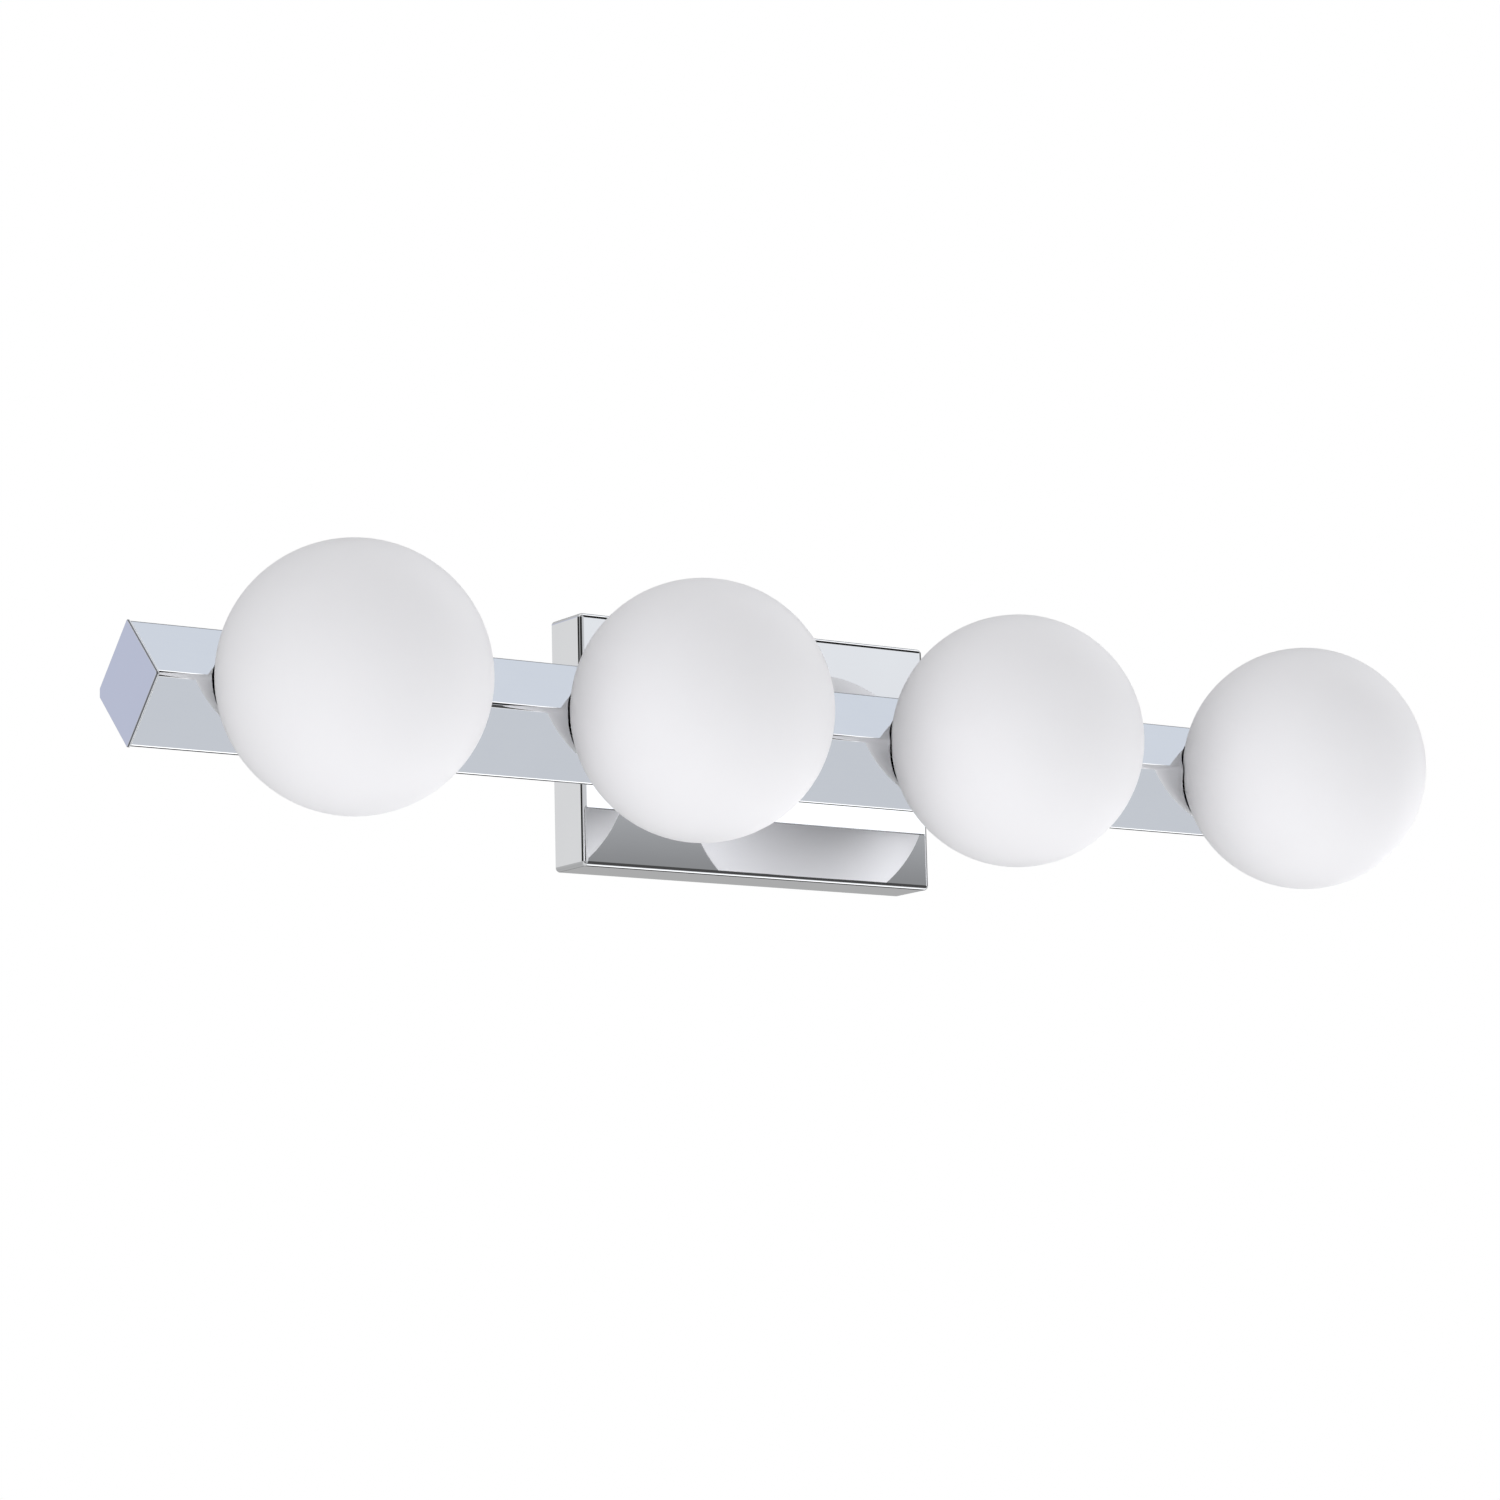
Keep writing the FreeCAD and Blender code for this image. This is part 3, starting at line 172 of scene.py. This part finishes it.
world = bpy.data.worlds.new("studio")
bpy.context.scene.world = world
world.use_nodes = True
world.node_tree.nodes.clear()
start = Socket(world.node_tree)
direction = start.node("TexCoord", give=0)
across, inward, upward = direction.parts()
round_bar = start.math("ARCTAN2", upward, -inward) / (2 * math.pi) + 0.5
strips = start.node("ValToRGB", {"stops": [(a / 360 + 0.5, c) for a, c in STRIPS]},
                    {"Fac": round_bar})
soft_strips = start.node("ValToRGB", {"stops": [(a / 360 + 0.5, c) for a, c in SOFT_STRIPS]},
                         {"Fac": round_bar})
strips = across.within(*ALONG_BAR).blend(soft_strips, strips)
round_room = start.math("ARCTAN2", -across, inward) / math.pi
left_strips = start.node("ValToRGB", {"stops": [(a / 180, c) for a, c in LEFT_STRIPS]},
                         {"Fac": round_room})
low_window = upward.within(*LOW)
strips = (low_window * (-across).over(*TO_LEFT)).blend(strips, left_strips)
strips = (low_window * across.over(*TO_RIGHT)).blend(strips, DARK_END)
beside = across.math("ABSOLUTE", across)
front_panel = (1.0 - beside.over(*PANEL_HALF_WIDTH)) * (-inward).over(*PANEL_DEPTH)
strips = (PANEL_SHARE * front_panel).blend(strips, PANEL)
# chrome throws no strip light on the matt pieces: they have the soft dome alone
second_hand = start.node("LightPath", give="Diffuse Depth").over(0.0, 1.0)
strips = second_hand.blend(strips, BLACK)
# the soft dome: an even level that leans one way, then broader changes from side to side
dome_lean = 1.63 + 0.45 * across + 0.29 * inward - 1.23 * upward
dome_sides = 0.72 * (across * across - inward * inward) - 0.58 * across * upward
dome_corners = inward * (1.13 * across - 0.27 * upward) + 0.17 * upward * upward
dome = start.math("MAXIMUM", dome_lean + dome_sides + dome_corners, DIMMEST)
flag = (0.81 * inward - 0.56 * across - 0.20 * upward).over(*FLAG_EDGE)
soft = dome * (1.0 - FLAG_SHARE * flag)
soft_colour = start.node("CombineColor", values={0: soft, 1: soft, 2: soft * COOLER})
is_glossy = start.node("LightPath", give="Is Glossy Ray")
seen = is_glossy.blend(soft_colour, strips)
is_camera = start.node("LightPath", give="Is Camera Ray")
seen = is_camera.blend(seen, WHITE)
background = start.node("Background", values={"Color": seen, "Strength": 1.0})
start.node("OutputWorld", values={"Surface": background})

FLOOR_DROP = 1.25
FLOOR_SIZE = 12.0
bpy.ops.mesh.primitive_plane_add(size=FLOOR_SIZE, location=(0, 0, -FLOOR_DROP))
floor = bpy.context.object
floor.name = "floor"
floor.visible_glossy = False
floor.visible_diffuse = False


def new_finish(name, **fixed):
    """A material of one Principled shader, whose fixed values sit on its own sockets.
    Gives a socket to grow nodes from, and a function that links what varies."""
    material = bpy.data.materials.new(name)
    material.use_nodes = True
    tree = material.node_tree
    tree.nodes.clear()
    shader = tree.nodes.new("ShaderNodeBsdfPrincipled")
    for socket, value in fixed.items():
        shader.inputs[socket.replace("_", " ")].default_value = value
    end = tree.nodes.new("ShaderNodeOutputMaterial")
    tree.links.new(shader.outputs[0], end.inputs["Surface"])

    def vary(**linked):
        for socket, value in linked.items():
            tree.links.new(value.output, shader.inputs[socket.replace("_", " ")])
        return material

    return Socket(tree), vary


def noise(place, scale, detail=2.0, roughness=0.5):
    """Cloudy noise from 0 to 1 at a scale in cycles a metre."""
    values = {"Vector": place, "Scale": scale, "Detail": detail, "Roughness": roughness}
    return place.node("TexNoise", values=values)


def bump(height, depth, distance=0.001):
    """A Normal from a height that varies over the surface; depth is its strength."""
    return height.node("Bump", values={"Strength": depth, "Distance": distance, "Height": height})


start, vary = new_finish("sweep_paper", Roughness=0.9, Emission_Strength=1.0)
place = start.node("TexCoord", give="Object")
mottle = noise(place, 40.0)
away = place.node("VectorMath", {"operation": "LENGTH"}, {0: place}, give="Value").over(0.5, 5.0)
paper = vary(Base_Color=mottle.blend((0.86, 0.86, 0.86, 1), (0.90, 0.90, 0.90, 1)),
             Emission_Color=away.blend((0.34, 0.34, 0.34, 1), (0.60, 0.60, 0.60, 1)))
# the paper's own glow evens it out to white, and isn't sampled as a light on the object
paper.cycles.emission_sampling = "NONE"
floor.data.materials.append(paper)

# where the camera stands: left of the light and below it, looking up and along the bar
CAMERA_LEFT = math.radians(34.6305)
CAMERA_BELOW = math.radians(9.6346)
CAMERA_ROLL = math.radians(-1.3903)
CAMERA_AWAY = 2.105854
CAMERA_LENS = 107.78
CAMERA_FILM = 36.0
CAMERA_NEAREST = 0.05
AIM_RIGHT = -0.036148
AIM_UP = -0.0066417
BAR_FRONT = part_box("bar_tube")[0].y

look = Vector((math.sin(CAMERA_LEFT) * math.cos(CAMERA_BELOW),
               math.cos(CAMERA_LEFT) * math.cos(CAMERA_BELOW), math.sin(CAMERA_BELOW)))
level = look.cross(Vector((0, 0, 1))).normalized()
upright = level.cross(look)
right = level * math.cos(CAMERA_ROLL) + upright * math.sin(CAMERA_ROLL)
up = upright * math.cos(CAMERA_ROLL) - level * math.sin(CAMERA_ROLL)
stand = Vector((0, BAR_FRONT, 0)) - look * CAMERA_AWAY + right * AIM_RIGHT + up * AIM_UP
camera = bpy.data.objects.new("camera", bpy.data.cameras.new("camera"))
bpy.context.scene.collection.objects.link(camera)
camera.matrix_world = Matrix((right, up, -look)).transposed().to_4x4()
camera.location = stand
camera.data.lens = CAMERA_LENS
camera.data.sensor_width = CAMERA_FILM
camera.data.clip_start = CAMERA_NEAREST
bpy.context.scene.camera = camera
bpy.context.scene.view_settings.view_transform = "Standard"


# ---- The chrome: backplate, bar, end caps, saddles and side screws ------------------------
# Folded and welded steel, polished and bright chromium plated, so it is a mirror with a
# faint haze, fine wipe marks and the slight unevenness of polished sheet.
def finish_nodes(material, *names):
    """Gives CAD nodes their finish."""
    for name in names:
        mesh = nodes[name].data
        mesh.materials.clear()
        mesh.materials.append(material)


# along the bar: where an end cap's rounded rim starts, past the tube's end and the seam
CAP_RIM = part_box("bar_tube")[1].x + 0.0004
RIM_FADE = 0.0003
SEAM_START = CAP_RIM - 0.0008
SEAM_END = CAP_RIM - 0.0006
# the colour of a painted dark reflection on the end caps' rounded rims
RIM_PAINTED_REFLECTION = (0.05, 0.05, 0.055, 1)
FACES_LEFT = (-0.8, -0.95)

start, vary = new_finish("polished_chrome", Metallic=1.0)
place = start.node("TexCoord", give="Object")
haze = noise(place, 22.0, 4.0, 0.6).over(0.35, 0.75)
wipes = noise(place.node("Mapping", values={"Vector": place, "Scale": (1.0, 14.0, 14.0)}), 60.0, 3.0)
tone = (haze * 0.5 + wipes * 0.5).blend((0.875, 0.885, 0.905, 1), (0.90, 0.91, 0.925, 1))
ripple = noise(place, 9.0, 1.0)
along = place.parts()[0]
outward = along.math("ABSOLUTE", along)
flank = 1.0 - start.node("NewGeometry", give="Normal").parts()[0].over(*FACES_LEFT)
# painted reflection: where the end caps' rounded rims face left, the base colour below is painted
# near black, standing in for a dark reflection in the rim
rim = outward.over(CAP_RIM, CAP_RIM + RIM_FADE)
seam = outward.over(SEAM_START, SEAM_END) * (1.0 - rim)
chrome = vary(Base_Color=(rim * flank * 0.8).blend(tone, RIM_PAINTED_REFLECTION),
              Roughness=0.012 + 0.03 * haze * wipes + 0.3 * seam * flank,
              Normal=bump(ripple, 0.05, 0.0006))
finish_nodes(chrome, "backplate", "bar_tube", "end_cap_left", "end_cap_right", "outer_saddles",
             "side_screws")


# ---- The four opal globes ------------------------------------------------------------------
# Mouth-blown opal glass, acid etched to satin. The bulb is a near sphere that turns through a
# small throat into a short neck, which pushes into the spring collar in the bar.
ON_AXIS = 1e-7
GLOBE_STEPS = 128


def lathe(name, profile, centre, steps=GLOBE_STEPS):
    """A closed ring of (radius, y) points turned about the Y axis through centre."""
    rings = []
    shape = bmesh.new()
    for step in range(steps):
        a = 2 * math.pi * step / steps
        rings.append([shape.verts.new((centre.x + radius * math.cos(a), centre.y + y,
                                       centre.z + radius * math.sin(a))) if radius > ON_AXIS
                      else None for radius, y in profile])
    poles = {i: shape.verts.new((centre.x, centre.y + y, centre.z))
             for i, (radius, y) in enumerate(profile) if radius <= ON_AXIS}
    count = len(profile)
    for step in range(steps):
        here, there = rings[step], rings[(step + 1) % steps]
        for i in range(count - 1):
            corners = [here[i] or poles[i], there[i] or poles[i],
                       there[i + 1] or poles[i + 1], here[i + 1] or poles[i + 1]]
            unique = list(dict.fromkeys(corners))
            if len(unique) > 2:
                shape.faces.new(unique)
    bmesh.ops.recalc_face_normals(shape, faces=shape.faces)
    mesh = bpy.data.meshes.new(name)
    shape.to_mesh(mesh)
    shape.free()
    mesh.shade_smooth()
    made = bpy.data.objects.new(name, mesh)
    bpy.context.scene.collection.objects.link(made)
    return made


def arc(centre_radius, centre_y, radius, start_angle, end_angle, count):
    """Points on an arc of a profile; angles in degrees, 0 outward and 90 towards the wall."""
    angles = [math.radians(start_angle + (end_angle - start_angle) * i / count)
              for i in range(count + 1)]
    return [(centre_radius + radius * math.cos(a), centre_y + radius * math.sin(a))
            for a in angles]


# metres: the bulb's glass, the neck outside, its glass, and the throat's inner curve
GLASS = 0.0025
NECK_RADIUS = 0.015
NECK_GLASS = 0.002
THROAT = 0.0025


def globe_profile(radius, neck_end):
    """From the front pole outside, round the bulb, down the neck and back up inside."""
    throat_y = math.sqrt((radius + THROAT) ** 2 - (NECK_RADIUS + THROAT) ** 2)
    meet = math.degrees(math.asin(throat_y / (radius + THROAT)))
    outside = arc(0, 0, radius, -90, meet, 96)
    throat = arc(NECK_RADIUS + THROAT, throat_y, THROAT, meet + 180, 180, 8)
    rim = arc(NECK_RADIUS - NECK_GLASS / 2, neck_end - NECK_GLASS / 2, NECK_GLASS / 2, 0, 180, 10)
    inner = radius - GLASS
    bore = NECK_RADIUS - NECK_GLASS
    inner_meet = math.degrees(math.acos(bore / inner))
    inside = arc(0, 0, inner, inner_meet, -90, 64)
    points = outside + throat[1:] + rim + inside
    points[0] = (0.0, -radius)
    points[-1] = (0.0, -inner)
    return points


start, vary = new_finish("opal_glass", Specular_IOR_Level=0.42, IOR=1.5,
                         Subsurface_Weight=0.25, Subsurface_Scale=0.01,
                         Subsurface_Radius=(1.0, 1.0, 1.0))
place = start.node("TexCoord", give="Object")
cloud = noise(place, 14.0, 3.0).over(0.3, 0.7)
grain = noise(place, 2600.0, 2.0, 0.7)
milk = cloud.blend((0.93, 0.925, 0.94, 1), (0.945, 0.94, 0.955, 1))
opal = vary(Base_Color=milk, Roughness=0.46 + 0.10 * cloud, Normal=bump(grain, 0.12, 0.0001))

EACH = range(1, 5)
for number in EACH:
    node = f"globe_{number}"
    low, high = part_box(node)
    radius = (high.x - low.x) / 2
    centre = Vector(((low.x + high.x) / 2, low.y + radius, (low.z + high.z) / 2))
    globe = lathe(f"opal_globe_{number}", globe_profile(radius, high.y - centre.y), centre)
    globe.data.materials.append(opal)
    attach(globe, node)
    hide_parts(node)


# ---- The capsule lamps --------------------------------------------------------------------
# Two-pin lamps that push into the lampholders. A frosted diffuser is moulded over a white
# polycarbonate base, and two nickel-plated wire pins leave the base at the rear.
start, vary = new_finish("frosted_diffuser", IOR=1.45, Transmission_Weight=0.35)
place = start.node("TexCoord", give="Object")
frost = noise(place, 900.0, 3.0, 0.7)
flow = noise(place, 60.0, 2.0)
diffuser = vary(Base_Color=flow.blend((0.88, 0.88, 0.86, 1), (0.93, 0.93, 0.92, 1)),
                Roughness=0.38 + 0.14 * frost, Normal=bump(frost, 0.2, 0.0001))
finish_nodes(diffuser, *[f"lamp_capsule_{k}" for k in EACH])

start, vary = new_finish("moulded_base", IOR=1.5, Specular_IOR_Level=0.5)
place = start.node("TexCoord", give="Object")
skin = noise(place, 1400.0, 2.0, 0.6)
flow = noise(place, 35.0, 2.0)
moulding = vary(Base_Color=flow.blend((0.79, 0.79, 0.77, 1), (0.84, 0.84, 0.83, 1)),
                Roughness=0.34 + 0.12 * skin, Normal=bump(skin, 0.12, 0.0001))
finish_nodes(moulding, *[f"lamp_base_{k}" for k in EACH])

start, vary = new_finish("nickel_wire", Metallic=1.0)
place = start.node("TexCoord", give="Object")
drawn = noise(place.node("Mapping", values={"Vector": place, "Scale": (30.0, 1.0, 30.0)}), 120.0)
nickel = vary(Base_Color=drawn.blend((0.66, 0.63, 0.58, 1), (0.76, 0.74, 0.69, 1)),
              Roughness=0.18 + 0.16 * drawn, Normal=bump(drawn, 0.08, 0.0001))
finish_nodes(nickel, *[f"lamp_pins_{k}" for k in EACH])


# ---- The lampholders -----------------------------------------------------------------------
# Pressed steatite bodies, fired to a warm white and glazed on the outside. Two screws hold
# each one on its bracket.
start, vary = new_finish("steatite", IOR=1.5)
place = start.node("TexCoord", give="Object")
pits = noise(place, 1800.0, 3.0, 0.7)
warmth = noise(place, 45.0, 3.0)
steatite = vary(Base_Color=warmth.blend((0.80, 0.785, 0.74, 1), (0.87, 0.86, 0.83, 1)),
                Roughness=0.30 + 0.30 * pits.over(0.4, 0.7), Coat_Weight=0.35 * warmth,
                Normal=bump(pits, 0.25, 0.0001))
finish_nodes(steatite, *[f"lampholder_{k}" for k in EACH])


# ---- The spring collars and gaskets --------------------------------------------------------
# Blued spring strip rolled to a slit collar grips each globe's neck. A moulded ring of
# milky silicone keeps the glass off the bar.
start, vary = new_finish("spring_strip", Metallic=1.0)
place = start.node("TexCoord", give="Object")
rolled = noise(place.node("Mapping", values={"Vector": place, "Scale": (1.0, 24.0, 1.0)}), 90.0)
heat = noise(place, 55.0, 3.0)
strip = vary(Base_Color=heat.blend((0.50, 0.51, 0.54, 1), (0.63, 0.63, 0.65, 1)),
             Roughness=0.20 + 0.22 * rolled, Normal=bump(rolled, 0.15, 0.0001))
finish_nodes(strip, *[f"spring_collar_{k}" for k in EACH])

start, vary = new_finish("silicone", IOR=1.41, Subsurface_Weight=0.3, Subsurface_Scale=0.002,
                         Subsurface_Radius=(1.0, 1.0, 1.0))
place = start.node("TexCoord", give="Object")
dust = noise(place, 500.0, 4.0, 0.7)
silicone = vary(Base_Color=dust.blend((0.80, 0.80, 0.79, 1), (0.88, 0.88, 0.87, 1)),
                Roughness=0.42 + 0.25 * dust, Normal=bump(dust, 0.2, 0.0002))
finish_nodes(silicone, *[f"globe_gasket_{k}" for k in EACH])


# ---- The steel that stays out of sight -----------------------------------------------------
# The wall bracket, holder brackets and inner saddles are pressed from sheet and zinc plated
# bright with a bluish passivation, like the bought nuts, washers and holder screws.
start, vary = new_finish("bright_zinc", Metallic=1.0)
place = start.node("TexCoord", give="Object")
cell = place.node("TexVoronoi", {"feature": "SMOOTH_F1"}, {"Vector": place, "Scale": 240.0})
mist = noise(place, 60.0, 4.0)
scuff = noise(place.node("Mapping", values={"Vector": place, "Scale": (1.0, 9.0, 9.0)}), 160.0)
tone = mist.blend((0.60, 0.63, 0.68, 1), (0.75, 0.755, 0.75, 1))
zinc = vary(Base_Color=scuff.over(0.55, 0.8).blend(tone, (0.80, 0.80, 0.80, 1)),
            Roughness=0.24 + 0.16 * mist + 0.10 * scuff, Normal=bump(cell * scuff, 0.2, 0.0002))
finish_nodes(zinc, "wall_bracket", "inner_saddles", "side_screw_nuts", "nipple_nuts",
             "nipple_washers", "holder_screws", *[f"holder_bracket_{k}" for k in EACH])


# ---- The blind rivets ----------------------------------------------------------------------
# Plain aluminium, set from outside the tube's two rear faces through the tabs of the holder
# brackets: four to each bracket.
start, vary = new_finish("rivet_aluminium", Metallic=1.0)
place = start.node("TexCoord", give="Object")
tumbled = noise(place, 700.0, 3.0, 0.6)
aluminium = vary(Base_Color=tumbled.blend((0.74, 0.745, 0.75, 1), (0.86, 0.86, 0.865, 1)),
                 Roughness=0.26 + 0.2 * tumbled, Normal=bump(tumbled, 0.2, 0.0001))
finish_nodes(aluminium, "bracket_rivets")


# ---- The hollow nipples --------------------------------------------------------------------
# Turned and threaded brass, with the fine rings that the tool leaves, a little tarnished.
start, vary = new_finish("nipple_brass", Metallic=1.0)
place = start.node("TexCoord", give="Object")
rings = noise(place.node("Mapping", values={"Vector": place, "Scale": (1.0, 40.0, 1.0)}), 80.0)
tarnish = noise(place, 90.0, 4.0)
brass = vary(Base_Color=tarnish.blend((0.66, 0.49, 0.22, 1), (0.82, 0.66, 0.36, 1)),
             Roughness=0.18 + 0.2 * tarnish, Normal=bump(rings, 0.2, 0.0001))
finish_nodes(brass, "hollow_nipples")


# ---- The earth screw, terminal and lead ----------------------------------------------------
# A green-dyed zinc screw in the wall bracket, and a screw terminal inside the plate that holds
# the eyelet of a bare copper wire, loose at its other end and dulled by handling.
start, vary = new_finish("earth_green", Metallic=0.8)
place = start.node("TexCoord", give="Object")
dye = noise(place, 260.0, 4.0, 0.7)
green = vary(Base_Color=dye.blend((0.012, 0.15, 0.045, 1), (0.03, 0.27, 0.09, 1)),
             Roughness=0.25 + 0.25 * dye, Normal=bump(dye, 0.1, 0.0001))
finish_nodes(green, "bracket_earth_screw")

start, vary = new_finish("bare_copper", Metallic=1.0)
place = start.node("TexCoord", give="Object")
handled = noise(place, 190.0, 4.0, 0.6)
copper = vary(Base_Color=handled.blend((0.60, 0.27, 0.15, 1), (0.86, 0.50, 0.34, 1)),
              Roughness=0.22 + 0.25 * handled, Normal=bump(handled, 0.12, 0.0001))
finish_nodes(copper, "earth_lead", "earth_terminal")


# ---- The leads and their connectors --------------------------------------------------------
# Heat-proof sleeved leads, black for the line and white for the neutral, run from each holder
# to two moulded twist-on connectors behind the plate.
start, vary = new_finish("lead_black", IOR=1.5)
place = start.node("TexCoord", give="Object")
weave = noise(place, 1100.0, 2.0, 0.6)
black = vary(Base_Color=weave.blend((0.012, 0.012, 0.013, 1), (0.035, 0.035, 0.036, 1)),
             Roughness=0.40 + 0.2 * weave, Normal=bump(weave, 0.3, 0.0001))
finish_nodes(black, "line_leads")

start, vary = new_finish("lead_white", IOR=1.5)
place = start.node("TexCoord", give="Object")
weave = noise(place, 1100.0, 2.0, 0.6)
white = vary(Base_Color=weave.blend((0.72, 0.72, 0.70, 1), (0.83, 0.83, 0.81, 1)),
             Roughness=0.42 + 0.2 * weave, Normal=bump(weave, 0.3, 0.0001))
finish_nodes(white, "neutral_leads")

start, vary = new_finish("connector_orange", IOR=1.5)
place = start.node("TexCoord", give="Object")
flow = noise(place, 130.0, 3.0)
orange = vary(Base_Color=flow.blend((0.72, 0.15, 0.015, 1), (0.86, 0.22, 0.03, 1)),
              Roughness=0.32 + 0.18 * flow, Normal=bump(flow, 0.15, 0.0002))
finish_nodes(orange, "line_connector", "neutral_connector")
